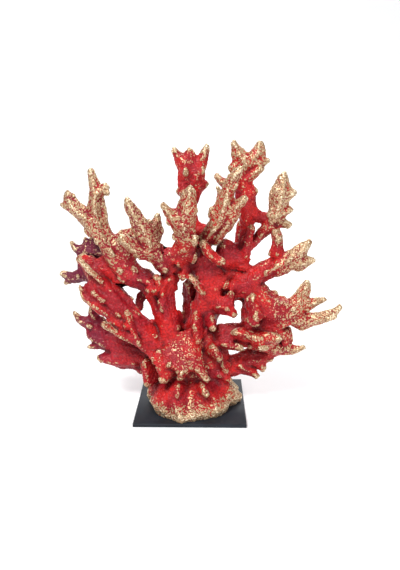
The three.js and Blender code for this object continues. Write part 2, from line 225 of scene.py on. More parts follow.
class Recipe(Graph):
    """A Geometry Nodes tree that takes one mesh and some named sizes, and makes one mesh."""

    def __init__(self, name: str, sizes: dict[str, Any]) -> None:
        """Makes the tree with its inputs.

        Args:
            name: the tree's name.
            sizes: each named input's value. Its type is told from the value.
        """
        super().__init__(bpy.data.node_groups.new(name, "GeometryNodeTree"))
        kinds = {float: "NodeSocketFloat", int: "NodeSocketInt", bpy.types.Object: "NodeSocketObject"}
        face = self.tree.interface
        for side in ("OUTPUT", "INPUT"):
            face.new_socket("Geometry", in_out=side, socket_type="NodeSocketGeometry")
        self.keys = {}
        for word, value in sizes.items():
            socket = face.new_socket(word, in_out="INPUT", socket_type=kinds[type(value)])
            self.keys[socket.identifier] = value
        self.start = self.add("NodeGroupInput")

    def attribute(self, name: str, kind: str = "FLOAT") -> Value:
        """An attribute of the mesh."""
        return self.add("GeometryNodeInputNamedAttribute", {"data_type": kind}, {"Name": name})

    def blurred(self, value: Value, rounds: Any, kind: str = "FLOAT") -> Value:
        """A value averaged with its neighbours', some rounds over."""
        inputs = {"Value": value, "Iterations": rounds}
        return self.add("GeometryNodeBlurAttribute", {"data_type": kind}, inputs)

    def shape_of(self, word: str) -> Value:
        """The mesh of an object that is a named input."""
        inputs = {"Object": self.start.also(word)}
        return self.add("GeometryNodeObjectInfo", inputs=inputs, output="Geometry")

    def drawn(self, low: Value | float, high: Value | float, seed: Value | int) -> Value:
        """A number for each point, drawn at random between low and high."""
        inputs = {"Min": low, "Max": high, "Seed": seed}
        return self.add("FunctionNodeRandomValue", {"data_type": "FLOAT"}, inputs, "Value")

    def store(
        self,
        geometry: Value,
        name: str,
        value: Value,
        domain: str = "POINT",
        kind: str = "FLOAT",
    ) -> Value:
        """Writes a value to a mesh as an attribute.

        Args:
            geometry: the mesh.
            name: the attribute's name.
            value: what it holds.
            domain: whether it is kept for each point or for each face.
            kind: its type.

        Returns:
            The mesh.
        """
        settings = {"data_type": kind, "domain": domain}
        inputs = {"Geometry": geometry, "Name": name, "Value": value}
        return self.add("GeometryNodeStoreNamedAttribute", settings, inputs)

    def reach(self, geometry: Value, way: Way, limit: float) -> Value:
        """Measures how far each point of a mesh is from the skin across from it.

        Args:
            geometry: the mesh.
            way: whether the measure is taken through the growth, or through the air, straight out
                or upwards.
            limit: the most that is given.

        Returns:
            The distance.
        """
        side, lift = way.value
        place = self.add("GeometryNodeInputPosition")
        inputs = {0: self.add("GeometryNodeInputNormal"), 1: (side,) * 3, 2: (0, 0, lift)}
        along = self.vector("NORMALIZE", {0: self.vector("MULTIPLY_ADD", inputs)})
        start = self.vector("MULTIPLY_ADD", {0: along, 1: (MM, MM, MM), 2: place})
        inputs = {"Source Position": start, "Ray Direction": along, "Ray Length": limit}
        hit = self.add("GeometryNodeRaycast", inputs={**inputs, 0: geometry}, output="Is Hit")
        return self.mix(hit, limit, hit.also("Hit Distance") + MM, "FLOAT")

    def finish(self, geometry: Value, material: bpy.types.Material) -> None:
        """Ends the tree: no instances are left, and every face has the material.

        Args:
            geometry: what the tree has made.
            material: its finish.
        """
        real = self.add("GeometryNodeRealizeInstances", inputs={"Geometry": geometry})
        inputs = {"Geometry": real, "Material": material}
        dressed = self.add("GeometryNodeSetMaterial", inputs=inputs)
        self.add("NodeGroupOutput", inputs={0: dressed})

    def bake(self, mesh: bpy.types.Mesh) -> bpy.types.Mesh:
        """Runs the tree on a mesh.

        Args:
            mesh: the mesh to work on, which is used up.

        Returns:
            The plain mesh that comes out.
        """
        holder = placed(self.tree.name, mesh)
        modifier = holder.modifiers.new("recipe", "NODES")
        modifier.node_group = self.tree
        for key, value in self.keys.items():
            modifier[key] = value
        result = evaluated(holder)
        bpy.data.objects.remove(holder)
        return result


class Shading(Graph):
    """A material's node tree, which ends in one Principled shader."""

    def __init__(self, name: str) -> None:
        """Makes an empty material.

        Args:
            name: the material's name.
        """
        self.material = bpy.data.materials.new(name)
        self.material.use_nodes = True
        self.material.node_tree.nodes.clear()
        super().__init__(self.material.node_tree)

    def given(self, word: str) -> Value:
        """A piece's own attribute."""
        return self.add("ShaderNodeAttribute", {"attribute_name": word}, output="Fac")

    def dressed(self, looks: dict[str, Any]) -> bpy.types.Material:
        """Ends the tree.

        Args:
            looks: what each of the shader's sockets is linked to or holds.

        Returns:
            The finished material.
        """
        surface = self.add("ShaderNodeBsdfPrincipled", inputs=looks)
        self.add("ShaderNodeOutputMaterial", inputs={"Surface": surface})
        return self.material


def placed(name: str, data: bpy.types.ID) -> bpy.types.Object:
    """Puts a mesh, a lamp or a camera in the scene.

    Args:
        name: the new object's name.
        data: what it shows.

    Returns:
        The object.
    """
    thing = bpy.data.objects.new(name, data)
    bpy.context.scene.collection.objects.link(thing)
    return thing


def filled(name: str, bm: bmesh.types.BMesh) -> bpy.types.Mesh:
    """Turns an edit mesh into a plain one.

    Args:
        name: the new mesh's name.
        bm: the edit mesh, which is used up.

    Returns:
        The mesh.
    """
    mesh = bpy.data.meshes.new(name)
    bm.to_mesh(mesh)
    bm.free()
    return mesh


def evaluated(holder: bpy.types.Object) -> bpy.types.Mesh:
    """An object's mesh with its modifiers applied."""
    depsgraph = bpy.context.evaluated_depsgraph_get()
    return bpy.data.meshes.new_from_object(holder.evaluated_get(depsgraph))


def remeshed(mesh: bpy.types.Mesh, voxel: float) -> bpy.types.Mesh:
    """A mesh's outer skin, made anew from voxels.

    Args:
        mesh: closed bodies, which may overlap.
        voxel: the voxel's width.

    Returns:
        One closed skin round all of them.
    """
    holder = placed("remesh", mesh)
    modifier = holder.modifiers.new("remesh", "REMESH")
    modifier.mode = "VOXEL"
    modifier.voxel_size = voxel
    result = evaluated(holder)
    bpy.data.objects.remove(holder)
    return result


# ---------------------------------------------------------------------------------------------
# Finishes
# ---------------------------------------------------------------------------------------------


class ShadeTone(Enum):
    """How far a branch's red leans to a dark purplish red, as painted shade on the branches that lie
    behind.
    """

    SCARLET = 0.0
    CRIMSON = 0.3
    WINE = 0.62
    PLUM = 1.0


@dataclass(frozen=True)
class BranchLook:
    """How one piece of the coral is coloured.

    Attributes:
        root_gilding: how much gold there is near the heart of the fan, from 0 to 1.
        tip_gilding: how much there is at the piece's far end.
        tone: how far the red under the gold leans to a dark purplish red, as painted shade for a piece
            that lies behind.
        span: the distances from the heart at which the two gildings hold.
    """

    root_gilding: float
    tip_gilding: float
    tone: ShadeTone = ShadeTone.SCARLET
    span: Span = (90 * MM, 200 * MM)


# The pieces that lie behind lean to a painted shade of dark purplish red.
LOOKS = {
    "holdfast": BranchLook(0.02, 0.8, ShadeTone.SCARLET, (50 * MM, 67 * MM)),
    "trunk": BranchLook(0.36, 0.14, ShadeTone.SCARLET, (32 * MM, 42 * MM)),
    "low_left_bough": BranchLook(0.12, 0.4, ShadeTone.WINE),
    "left_bough": BranchLook(0.12, 0.36, ShadeTone.SCARLET),
    "far_left_branch": BranchLook(0.05, 0.3, ShadeTone.PLUM, (90 * MM, 170 * MM)),
    "upper_left_branch": BranchLook(0.12, 0.6, ShadeTone.CRIMSON, (95 * MM, 170 * MM)),
    "inner_left_branch": BranchLook(0.22, 0.56, ShadeTone.CRIMSON, (95 * MM, 145 * MM)),
    "left_column": BranchLook(0.12, 0.34),
    "central_column": BranchLook(0.12, 0.3),
    "front_centre_branch": BranchLook(0.16, 0.52, ShadeTone.SCARLET, (100 * MM, 150 * MM)),
    "top_centre_branch": BranchLook(0.1, 0.34, ShadeTone.SCARLET, (150 * MM, 225 * MM)),
    "front_right_branch": BranchLook(0.2, 0.53, ShadeTone.SCARLET, (105 * MM, 150 * MM)),
    "top_right_branch": BranchLook(0.05, 0.6, ShadeTone.SCARLET, (175 * MM, 225 * MM)),
    "upper_right_branch": BranchLook(0.1, 0.7, ShadeTone.SCARLET, (150 * MM, 185 * MM)),
    "mid_right_branch": BranchLook(0.12, 0.68, ShadeTone.SCARLET, (120 * MM, 165 * MM)),
    "right_bough": BranchLook(0.14, 0.66, ShadeTone.SCARLET, (90 * MM, 150 * MM)),
    "low_right_bough": BranchLook(0.18, 0.6, ShadeTone.SCARLET, (60 * MM, 140 * MM)),
    "lowest_right_bough": BranchLook(0.1, 0.4, ShadeTone.SCARLET, (60 * MM, 110 * MM)),
}


@dataclass(frozen=True)
class GildedCoral:
    """Red lacquer over a fine grain, with gold dry-brushed on what stands proud, and shade, sheen and
    highlights painted into the colour.

    Attributes:
        scarlet: the bright red.
        crimson: the cooler red that clouds it.
        rose_sheen: the pink of a painted sheen.
        plum: the dark purplish red painted as shade on what lies behind.
        shade_red: the near-black red painted as shade into the hollows and the grain's grooves.
        gold: the gold itself.
        gold_highlight: the pale gold painted as highlights in the finest strokes.
        gold_shade: the brown painted as shade into the gold.
        grain: the width of one grain of the surface.
        cloud: the width of the clouds of crimson.
        fleck: the width of the flecks that the gold breaks into.
        stroke: the width of the finest strokes of the brushwork.
        cloud_edge: the noise between which the red goes from crimson to scarlet.
        sheen: how far the painted sheen takes the red to its pink.
        sheen_edge: the noise between which that painted sheen comes in.
        groove_shade: how dark the painted shade in the grain's grooves is.
        leaning: how far the painted shade of what lies behind covers the red of a piece that leans to it
            fully.
        shade: how dark the painted shade makes the deepest hollows.
        gold_shade_edge: the noise between which a stroke goes from the gold's painted brown shade to
            gold.
        highlight_edge: the noise between which the gold's painted highlight comes in.
        thick: the amounts of gold between which the painted highlights grow to their full strength.
        caught: how much more gold the grain's crests catch than its grooves.
        scatter: how far the flecks break up the gold's edge.
        cover: the amounts of gold between which the red goes from bare to covered.
        relief: the depth of the grain that is left to the bump.
    """

    scarlet: Colour = (0.53, 0.012, 0.011, 1)
    crimson: Colour = (0.33, 0.007, 0.014, 1)
    # A painted pink sheen on the red, scattered by fine noise.
    rose_sheen: Colour = (0.66, 0.08, 0.12, 1)
    plum: Colour = (0.095, 0.008, 0.034, 1)
    # Painted shade of the hollows and the grain's grooves.
    shade_red: Colour = (0.04, 0.001, 0.002, 1)
    gold: Colour = (0.49, 0.33, 0.18, 1)
    # Painted highlight and painted shade of the gold.
    gold_highlight: Colour = (0.84, 0.71, 0.50, 1)
    gold_shade: Colour = (0.20, 0.075, 0.035, 1)
    grain: float = 3.4 * MM
    cloud: float = 24 * MM
    fleck: float = 2.6 * MM
    stroke: float = 1.7 * MM
    cloud_edge: Span = (0.38, 0.62)
    sheen: float = 0.35
    sheen_edge: Span = (0.54, 0.74)
    groove_shade: float = 0.45
    leaning: float = 0.85
    shade: float = 0.9
    gold_shade_edge: Span = (0.3, 0.6)
    highlight_edge: Span = (0.46, 0.67)
    thick: Span = (0.4, 1.0)
    caught: float = 0.5
    scatter: float = 0.9
    cover: Span = (0.46, 0.6)
    relief: float = 0.6 * MM

    def material(self) -> bpy.types.Material:
        """The coral's one material, which reads each piece's own attributes.

        Returns:
            The material.
        """
        graph = Shading("gilded_coral")
        place = graph.add("ShaderNodeTexCoord", output="Object")
        grain = graph.worms(place, self.grain)
        cloud = graph.noise(place, self.cloud)
        fleck = graph.noise(place, self.fleck, 3.0)
        stroke = graph.noise(place, self.stroke)
        gilding = graph.given("gilding")
        red = self.red(graph, cloud, stroke, grain)
        gold = self.golden(graph, grain, stroke, gilding)
        ready = gilding + (grain - GRAIN_MEAN) * self.caught + (fleck - NOISE_MEAN) * self.scatter
        cover = ready.step(*self.cover)
        relief = grain * 0.6 + stroke * 0.4
        bump = {"Strength": 0.6, "Distance": self.relief, "Height": relief}
        looks = {
            "Base Color": graph.mix(cover, red, gold),
            "Metallic": cover * 0.5,
            "Roughness": 0.3 + fleck * 0.25,
            "Specular IOR Level": 0.25,
            "Normal": graph.add("ShaderNodeBump", inputs=bump),
        }
        return graph.dressed(looks)

    def red(self, graph: Shading, cloud: Value, stroke: Value, grain: Value) -> Value:
        """The lacquer's colour, with a painted sheen, and painted shade in the grooves, on the pieces
        that lie behind and in the hollows.

        Args:
            graph: the material's tree.
            cloud: broad noise.
            stroke: fine noise.
            grain: the surface's grain, 0 in its grooves.

        Returns:
            The colour.
        """
        base = graph.mix(cloud.step(*self.cloud_edge), self.crimson, self.scarlet)
        # A painted sheen, scattered by fine noise.
        sheen = graph.mix(stroke.step(*self.sheen_edge) * self.sheen, base, self.rose_sheen)
        # Painted shade in the grain's grooves.
        groove_shaded = graph.mix((1 - grain) * self.groove_shade, sheen, self.shade_red)
        # Painted shade on the pieces that lie behind.
        behind_shaded = graph.mix(graph.given("plum") * self.leaning, groove_shaded, self.plum)
        # Painted shade in the hollows and the shut-in places.
        return graph.mix(graph.given("hollow") * self.shade, behind_shaded, self.shade_red)

    def golden(self, graph: Shading, grain: Value, stroke: Value, gilding: Value) -> Value:
        """The gold's colour: painted brown shade in the grooves and in some strokes, and painted pale
        highlights in the finest strokes where it is thick.

        Args:
            graph: the material's tree.
            grain: the surface's grain, 0 in its grooves.
            stroke: fine noise.
            gilding: how much gold the place has.

        Returns:
            The colour.
        """
        # Painted shade in brown and painted highlights in pale gold.
        gold_light = grain * 0.55 + stroke.step(*self.gold_shade_edge) * 0.45
        shaded_gold = graph.mix(gold_light, self.gold_shade, self.gold)
        thickness = 0.2 + gilding.step(*self.thick) * 0.8
        return graph.mix(stroke.step(*self.highlight_edge) * thickness, shaded_gold, self.gold_highlight)


@dataclass(frozen=True)
class BlackPlate:
    """Satin black paint on the plate.

    Attributes:
        black: the paint.
        worn: its greyer parts.
        cloud: the width of the greyer parts.
        speck: the width of the paint's fine texture.
    """

    black: Colour = (0.007, 0.010, 0.015, 1)
    worn: Colour = (0.015, 0.020, 0.029, 1)
    cloud: float = 30 * MM
    speck: float = 0.5 * MM

    def material(self) -> bpy.types.Material:
        """The plate's material.

        Returns:
            The material.
        """
        graph = Shading("satin_black")
        place = graph.add("ShaderNodeTexCoord", output="Object")
        cloud = graph.noise(place, self.cloud, 3.0)
        speck = graph.noise(place, self.speck)
        bump = {"Strength": 0.15, "Distance": 0.1 * MM, "Height": speck}
        looks = {
            "Base Color": graph.mix(cloud.step(0.3, 0.75), self.black, self.worn),
            "Roughness": 0.42 + cloud * 0.2,
            "Specular IOR Level": 0.3,
            "Normal": graph.add("ShaderNodeBump", inputs=bump),
        }
        return graph.dressed(looks)


# ---------------------------------------------------------------------------------------------
# The coral
# ---------------------------------------------------------------------------------------------


@dataclass(frozen=True)
class Bud:
    """A small blunt cup, such as stands all over the coral.

    Attributes:
        profile: its outline from the bottom up, as radius and height, in units of its width.
        sides: how many sides it has.
    """

    profile: tuple[Span, ...] = ((1.25, -0.9), (1.1, 0.1), (0.9, 0.95), (0.55, 1.2), (0.25, 0.95))
    sides: int = 8

    def made(self) -> bpy.types.Object:
        """Makes a closed bud of unit width, standing on +Z.

        Returns:
            The bud.
        """
        bm = bmesh.new()
        rings = [self.ring(bm, radius, height) for radius, height in self.profile]
        for low, high in zip(rings, rings[1:]):
            for side in range(self.sides):
                after = (side + 1) % self.sides
                bm.faces.new((low[side], low[after], high[after], high[side]))
        bm.faces.new(rings[0][::-1])
        bm.faces.new(rings[-1])
        return placed("bud", filled("bud", bm))

    def ring(self, bm: bmesh.types.BMesh, radius: float, height: float) -> list[bmesh.types.BMVert]:
        """One ring of corners at a height."""
        turns = [2 * math.pi * side / self.sides for side in range(self.sides)]
        return [bm.verts.new((radius * math.cos(t), radius * math.sin(t), height)) for t in turns]


@dataclass(frozen=True)
class BudScatter:
    """Where the buds stand, and how big they are.

    Attributes:
        widths: the narrowest and the widest bud.
        lengths: the shortest and the longest, in units of their width.
        gap: the least distance between two buds.
        wall: the thicknesses of a limb between which buds come in.
        clear: the heights over the plate between which they come in.
        patch: the width of the patches that they crowd in.
        patch_edge: the noise between which a patch comes in.
        crowding: their share between the patches, and what a patch adds to it.
        density: the most buds on a square metre, before the gap thins them out.
        seed: where the draws of their places and widths start.
        length_seed: where the draws of their lengths start.
    """

    widths: Span = (1.9 * MM, 3.3 * MM)
    lengths: Span = (1.0, 2.6)
    gap: float = 15 * MM
    wall: Span = (9 * MM, 14 * MM)
    clear: Span = (8 * MM, 14 * MM)
    patch: float = 30 * MM
    patch_edge: Span = (0.42, 0.56)
    crowding: Span = (0.12, 0.5)
    density: float = 9000.0
    seed: int = 5
    length_seed: int = 3


@dataclass(frozen=True)
class Ribs:
    """Ridges along the limbs, which run the way the coral grows.

    Attributes:
        width: the width of a ridge at the given radius.
        height: its height.
        radius: the distance from the heart at which a ridge has that width.
        squeeze: how far the pattern changes along a ridge, as a share of what it does across.
        steepness: how steep its sides are.
        wall: the thicknesses of a limb between which the ridges come in.
        away: the distances from the heart between which they come in.
    """

    width: float = 20 * MM
    height: float = 3.0 * MM
    radius: float = 100 * MM
    squeeze: float = 0.22
    steepness: float = 5.0
    wall: Span = (6 * MM, 16 * MM)
    away: Span = (45 * MM, 95 * MM)


@dataclass(frozen=True)
class Lumps:
    """The coral's broad unevenness.

    Attributes:
        width: the width of a lump.
        height: how far the lumps reach up and down together.
        least: their share of that height at the foot.
        calm: the heights over the plate between which they grow to the whole of it.
    """

    width: float = 7 * MM
    height: float = 2.2 * MM
    least: float = 0.35
    calm: Span = (20 * MM, 40 * MM)


@dataclass(frozen=True)
class Colouring:
    """How the last skin's own shape changes its colouring.

    Rounds say how many times a measure is averaged with its neighbours'.

    Attributes:
        near_rounds: rounds that give the shape which crests and grooves stand out from.
        broad_rounds: rounds that give the shape which hollows lie behind.
        proud_rounds: rounds that soften the crests.
        wall_rounds: rounds that soften the thickness of a limb.
        air_rounds: rounds that soften how open a place lies.
        gilding_rounds: rounds that soften the gold's change at a fork.
        plum_shade_rounds: rounds that soften the change of the painted shade of what lies behind at a
            fork.
        crest: how far a place stands out where its extra gold comes in.
        crest_gold: that extra gold.
        groove: how far a place stands out where it stops losing gold.
        groove_loss: the most gold that it loses.
        thin: the thicknesses of a limb between which its extra gold fades away.
        thin_gold: that extra gold.
        hollow: how far a place stands out where its deepest shade ends.
        open_air: the free distances between which a place goes from shut in to open.
        sky: how much of that is measured upwards, and not straight out.
        dim: how much light a place keeps that is shut in and no hollow.
    """

    near_rounds: int = 30
    broad_rounds: int = 90
    proud_rounds: int = 5
    wall_rounds: int = 10
    air_rounds: int = 12
    gilding_rounds: int = 8
    plum_shade_rounds: int = 40
    crest: Span = (0.4 * MM, 1.1 * MM)
    crest_gold: float = 0.5
    groove: Span = (-1.0 * MM, 0.1 * MM)
    groove_loss: float = 0.35
    thin: Span = (4 * MM, 11 * MM)
    thin_gold: float = 0.18
    hollow: Span = (-2.6 * MM, -0.2 * MM)
    open_air: Span = (5 * MM, 34 * MM)
    sky: float = 0.65
    dim: float = 0.3


@dataclass
class CoralGrowth:
    """The coral, melted from its solids into one growth and parted again at its forks.

    Attributes:
        material: the coral's finish.
        swell: how far the solids grow, so that the gaps at the forks close.
        coarse: the voxel of the first skin.
        fine: the voxel of the last skin.
        probe: the longest measure that is taken through the coral or the air.
        wall_rounds: how many times a limb's thickness is averaged with its neighbours'.
        rounding: how many rounds of smoothing a thin limb's facets have, and a stout limb's.
        softening: how many rounds the last skin has.
        stout: the thicknesses of a limb between which it goes from thin to stout.
        lumps: the broad unevenness.
        ribs: the ridges along the limbs.
        scatter: the buds.
        grain: the width and the height of the surface's grain.
        sink: how far the holdfast runs down past the plate's top before it is cut flat.
        plum_shade_span: the distances from the heart between which a piece goes from scarlet to its own
            painted shade of what lies behind.
        colouring: how the skin's shape changes its colouring.
        names: the solids' names, in the order of their numbers.
    """

    material: bpy.types.Material
    swell: float = 0.55 * MM
    coarse: float = 1.2 * MM
    fine: float = 0.9 * MM
    probe: float = 40 * MM
    wall_rounds: int = 14
    rounding: tuple[int, int] = (4, 8)
    softening: int = 2
    stout: Span = (7 * MM, 19 * MM)
    lumps: Lumps = Lumps()
    ribs: Ribs = Ribs()
    scatter: BudScatter = BudScatter()
    grain: Span = (3.4 * MM, 0.6 * MM)
    sink: float = 6 * MM
    plum_shade_span: Span = (50 * MM, 100 * MM)
    colouring: Colouring = Colouring()
    names: tuple[str, ...] = tuple(LOOKS)

    def __post_init__(self) -> None:
        """Reads where the plate's top and the fan's heart are."""
        self.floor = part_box(PLATE_NODE)[1].z
        low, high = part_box("trunk")
        self.heart = np.array((low + high) / 2)

    def gathered(self, swell: float, sink: float = 0.0) -> bpy.types.Mesh:
        """All the solids in one mesh, which knows each face's piece and each corner's colouring.

        Args:
            swell: how far the solids are grown.
            sink: how far the holdfast's underside is moved down.

        Returns:
            The mesh.
        """
        places, faces, pieces, gilding, plum = [], [], [], [], []
        for number, name in enumerate(self.names):
            solid = bmesh.new()
            solid.from_mesh(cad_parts[name].data)
            bmesh.ops.remove_doubles(solid, verts=solid.verts, dist=0.01 * MM)
            solid.normal_update()
            first = len(places)
            places += [v.co + v.normal * swell for v in solid.verts]
            faces += [[first + v.index for v in f.verts] for f in solid.faces]
            pieces += [number] * len(solid.faces)
            look = LOOKS[name]
            far = np.linalg.norm(np.array([v.co for v in solid.verts]) - self.heart, axis=1)
            gilding.append(np.interp(far, look.span, (look.root_gilding, look.tip_gilding)))
            # Painted shade of the pieces that lie behind, which grows with the distance from the heart.
            plum.append(np.interp(far, self.plum_shade_span, (0.0, look.tone.value)))
            solid.free()
        for place in places:
            if place.z < self.floor + MM:
                place.z -= sink
        mesh = bpy.data.meshes.new("solids")
        mesh.from_pydata(places, [], faces)
        mesh.attributes.new("piece", "INT", "FACE").data.foreach_set("value", pieces)
        for word, values in (("gilding", gilding), ("plum", plum)):
            mesh.attributes.new(word, "FLOAT", "POINT").data.foreach_set("value", np.concatenate(values))
        return mesh

    def rounded(self, skin: bpy.types.Mesh, bud: bpy.types.Object) -> bpy.types.Mesh:
        """Rounds the first skin's facets, makes it uneven, and sets buds on it.

        Args:
            skin: the growth's first skin.
            bud: the object to set on it.

        Returns:
            The growth, with the buds as separate bodies that run into it.
        """
        sizes = {
            "Bud": bud,
            "Bud gap": self.scatter.gap,
            "Narrowest": self.scatter.widths[0],
            "Widest": self.scatter.widths[1],
            "Seed": self.scatter.seed,
        }
        recipe = Recipe("rounding", sizes)
        given = recipe.start
        place = recipe.add("GeometryNodeInputPosition")
        wall = recipe.blurred(recipe.reach(given, Way.INWARD, self.probe), self.wall_rounds)
        held = recipe.store(given, "wall", wall)
        close, broad = (self.filtered(recipe, place, rounds) for rounds in self.rounding)
        thick = recipe.attribute("wall").step(*self.stout)
        inputs = {0: held, "Position": recipe.mix(thick, close, broad, "VECTOR")}
        smooth = recipe.add("GeometryNodeSetPosition", inputs=inputs)
        unevenness = self.lumpy(recipe, place) + self.ribbed(recipe, place)
        raised = self.raised(recipe, smooth, unevenness)
        buds = self.budded(recipe, raised)
        both = recipe.add("GeometryNodeJoinGeometry")
        for part in (raised, buds):
            recipe.tree.links.new(part.socket, both.socket.node.inputs[0])
        recipe.finish(both, self.material)
        return recipe.bake(skin)

    def over_plate(self, recipe: Recipe, place: Value, heights: Span) -> Value:
        """Goes from 0 to 1 between two heights over the plate."""
        height = recipe.add("ShaderNodeSeparateXYZ", inputs={0: place}, output="Z")
        return height.step(self.floor + heights[0], self.floor + heights[1])

    def outward(self, recipe: Recipe, place: Value) -> Value:
        """The way the coral grows at a place: away from its heart."""
        away = recipe.vector("SUBTRACT", {0: place, 1: tuple(self.heart)})
        return recipe.vector("NORMALIZE", {0: away})

    def lumpy(self, recipe: Recipe, place: Value) -> Value:
        """How far the lumps raise each place.

        Args:
            recipe: the tree that works it out.
            place: where.

        Returns:
            The height, which is below 0 between the lumps.
        """
        grown = self.over_plate(recipe, place, self.lumps.calm) * (1 - self.lumps.least)
        noise = recipe.noise(place, self.lumps.width, 1.0) - NOISE_MEAN
        return noise * self.lumps.height * (self.lumps.least + grown)

    def ribbed(self, recipe: Recipe, place: Value) -> Value:
        """How far the ribs raise each place.

        Args:
            recipe: the tree that works it out.
            place: where.

        Returns:
            The height, which is below 0 between the ribs.
        """
        away = recipe.vector("DISTANCE", {0: place, 1: tuple(self.heart)}, "Value")
        share = recipe.attribute("wall").step(*self.ribs.wall) * away.step(*self.ribs.away)
        along = recipe.vector("SCALE", {0: place, "Scale": self.ribs.squeeze})
        inputs = {0: self.outward(recipe, place), 1: (self.ribs.radius,) * 3, 2: along}
        drawn = recipe.vector("MULTIPLY_ADD", inputs)
        off_crest = abs(recipe.noise(drawn, self.ribs.width, 1.0) - NOISE_MEAN)
        crest = 0.5 - (off_crest * self.ribs.steepness).clamped()
        return crest * self.ribs.height * share

    @staticmethod
    def filtered(recipe: Recipe, place: Value, rounds: int) -> Value:
        """Takes the fine detail out of a shape, without the shrinking that a plain blur brings.

        Args:
            recipe: the tree that works it out.
            place: each point's place.
            rounds: how many times it is averaged with its neighbours.

        Returns:
            Each point's new place.
        """
        once = recipe.blurred(place, rounds, "FLOAT_VECTOR")
        twice = recipe.blurred(once, rounds, "FLOAT_VECTOR")
        return recipe.vector("SUBTRACT", {0: recipe.vector("SCALE", {0: once, "Scale": 2.0}), 1: twice})

    @staticmethod
    def raised(recipe: Recipe, geometry: Value, height: Value) -> Value:
        """Moves the skin out along its normals."""
        along = recipe.vector("SCALE", {0: recipe.add("GeometryNodeInputNormal"), "Scale": height})
        return recipe.add("GeometryNodeSetPosition", inputs={0: geometry, "Offset": along})

    def budded(self, recipe: Recipe, geometry: Value) -> Value:
        """Buds scattered over the thicker limbs, standing on the skin.

        Args:
            recipe: the tree that they are made in.
            geometry: what they stand on.

        Returns:
            The buds, as instances.
        """
        place = recipe.add("GeometryNodeInputPosition")
        given = recipe.start
        stout = recipe.attribute("wall").step(*self.scatter.wall)
        clear = self.over_plate(recipe, place, self.scatter.clear)
        patches = recipe.noise(place, self.scatter.patch).step(*self.scatter.patch_edge)
        between, within = self.scatter.crowding
        inputs = {
            0: geometry,
            "Distance Min": given.also("Bud gap"),
            "Density Max": self.scatter.density,
            "Density Factor": stout * clear * (between + patches * within),
            "Seed": given.also("Seed"),
        }
        settings = {"distribute_method": "POISSON"}
        spots = recipe.add("GeometryNodeDistributePointsOnFaces", settings, inputs)
        width = recipe.drawn(given.also("Narrowest"), given.also("Widest"), given.also("Seed"))
        length = recipe.drawn(*self.scatter.lengths, self.scatter.length_seed)
        inputs = {"Rotation": spots.also("Rotation"), "Vector": self.outward(recipe, place)}
        settings = {"axis": "X", "pivot_axis": "Z"}
        turned = recipe.add("FunctionNodeAlignRotationToVector", settings, inputs)
        sides = {"X": width * length, "Y": width, "Z": width}
        inputs = {
            "Points": spots,
            "Instance": recipe.shape_of("Bud"),
            "Rotation": turned,
            "Scale": recipe.add("ShaderNodeCombineXYZ", inputs=sides),
        }
        return recipe.add("GeometryNodeInstanceOnPoints", inputs=inputs)

    def grained(self, skin: bpy.types.Mesh, solids: bpy.types.Object) -> bpy.types.Mesh:
        """Gives the last skin its grain, and writes on it what its material and its parting need.

        Args:
            skin: the growth's last skin.
            solids: the solids, which hold each piece's number and colouring.

        Returns:
            The finished growth.
        """
        recipe = Recipe("graining", {"Solids": solids})
        place = recipe.add("GeometryNodeInputPosition")
        inputs = {0: recipe.start, "Position": self.filtered(recipe, place, self.softening)}
        soft = recipe.add("GeometryNodeSetPosition", inputs=inputs)
        known = self.surveyed(recipe, soft, place)
        source = recipe.shape_of("Solids")
        look = self.colouring
        gilding = recipe.blurred(self.nearest(recipe, source, "gilding", "FLOAT"), look.gilding_rounds)
        plum = recipe.blurred(self.nearest(recipe, source, "plum", "FLOAT"), look.plum_shade_rounds)
        piece = self.nearest(recipe, source, "piece", "INT")
        proud, deep, wall, air = map(recipe.attribute, SURVEY)
        crest = proud.step(*look.crest) * look.crest_gold
        groove = (1 - proud.step(*look.groove)) * look.groove_loss
        thin = (1 - wall.step(*look.thin)) * look.thin_gold
        # The shade of hollows and shut-in places is painted into the colour.
        light = deep.step(*look.hollow) * (look.dim + air * (1 - look.dim))
        known = recipe.store(known, "gilding", (gilding + (crest - groove) + thin).clamped())
        known = recipe.store(known, "plum", plum)
        known = recipe.store(known, "hollow", 1 - light)
        known = recipe.store(known, "piece", piece, "FACE", "INT")
        width, height = self.grain
        grain = (recipe.worms(place, width) - GRAIN_MEAN) * height
        recipe.finish(self.raised(recipe, known, grain), self.material)
        return recipe.bake(skin)

    def surveyed(self, recipe: Recipe, skin: Value, place: Value) -> Value:
        """Writes on the skin how proud, how deep, how thick and how open each place is.

        Args:
            recipe: the tree that works it out.
            skin: the skin.
            place: each point's place.

        Returns:
            The skin, with the attributes of SURVEY.
        """
        look = self.colouring
        proud = recipe.blurred(self.standing(recipe, place, look.near_rounds), look.proud_rounds)
        known = recipe.store(skin, "proud", proud)
        known = recipe.store(known, "deep", self.standing(recipe, place, look.broad_rounds))
        wall = recipe.blurred(recipe.reach(known, Way.INWARD, self.probe), look.wall_rounds)
        known = recipe.store(known, "wall", wall)
        front = recipe.reach(known, Way.OUTWARD, self.probe).step(*look.open_air)
        above = recipe.reach(known, Way.SKYWARD, self.probe).step(*look.open_air)
        free = front * (1 - look.sky) + above * look.sky
        return recipe.store(known, "air", recipe.blurred(free, look.air_rounds))

    @staticmethod
    def standing(recipe: Recipe, place: Value, rounds: int) -> Value:
        """How far the skin stands out from its own broad shape: above 0 on ridges and tips.

        Args:
            recipe: the tree that works it out.
            place: each point's place.
            rounds: how broad that shape is.

        Returns:
            The distance.
        """
        broad = recipe.blurred(place, rounds, "FLOAT_VECTOR")
        away = recipe.vector("SUBTRACT", {0: place, 1: broad})
        normal = recipe.add("GeometryNodeInputNormal")
        return recipe.vector("DOT_PRODUCT", {0: away, 1: normal}, "Value")

